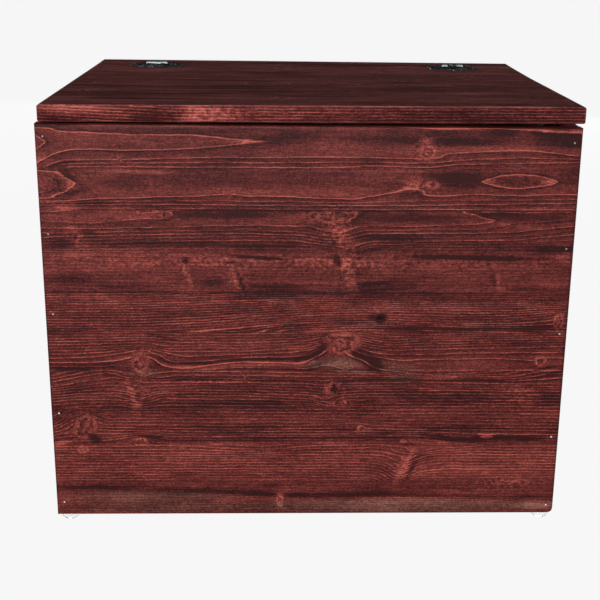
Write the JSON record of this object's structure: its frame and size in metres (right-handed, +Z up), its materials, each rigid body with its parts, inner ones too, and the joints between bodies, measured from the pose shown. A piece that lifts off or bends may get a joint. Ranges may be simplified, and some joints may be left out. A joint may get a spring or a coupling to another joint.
{
  "type": "kindling box",
  "caption": "Stained wooden kindling box: nailed board carcass on clear dome feet, a fixed strip along the back of the top, and a front-opening lid on butterfly hinges.",
  "frame": {"origin": "on the floor, under the middle of the carcass", "axes": "+X to the right along the box's width, as seen by someone facing its front, +Y from the front to the back, +Z up"},
  "size_m": [0.5108, 0.4041, 0.4314],
  "materials": {
    "front_wood": "mahogany stain under satin varnish",
    "side_wood": "mahogany stain under satin varnish",
    "top_wood": "dark mahogany stain under satin varnish",
    "base_wood": "bare planed softwood",
    "brad_steel": "bright drawn wire",
    "hinge_bronze": "antique bronze lacquer, rubbed on high spots",
    "hinge_screw": "antique bronze lacquer",
    "pin_steel": "bright",
    "clear_bumper": "clear soft polyurethane"
  },
  "bodies": {
    "carcass": {"front_panel": "front_wood", "back_panel": "side_wood", "left_side_panel": "side_wood", "right_side_panel": "side_wood", "base_panel": "base_wood", "rear_top_strip": "top_wood", "front_panel_brads": "brad_steel", "back_panel_brads": "brad_steel", "base_brads": "brad_steel", "rear_strip_brads": "brad_steel", "left_hinge_fixed_leaf": "hinge_bronze", "left_hinge_pin": "pin_steel", "left_hinge_fixed_screws": "hinge_screw", "right_hinge_fixed_leaf": "hinge_bronze", "right_hinge_pin": "pin_steel", "right_hinge_fixed_screws": "hinge_screw", "front_left_foot": "clear_bumper", "front_right_foot": "clear_bumper", "back_left_foot": "clear_bumper", "back_right_foot": "clear_bumper", "left_lid_bumper": "clear_bumper", "right_lid_bumper": "clear_bumper"},
    "lid": {"lid_panel": "top_wood", "left_hinge_lid_leaf": "hinge_bronze", "left_hinge_lid_screws": "hinge_screw", "right_hinge_lid_leaf": "hinge_bronze", "right_hinge_lid_screws": "hinge_screw"}
  },
  "joints": [
    {"name": "lid_hinge", "type": "hinge", "parent": "carcass", "child": "lid", "pos_m": [0.0002, 0.1415, 0.429], "axis": [-1, 0, 0], "range_deg": [0, 180]}
  ]
}
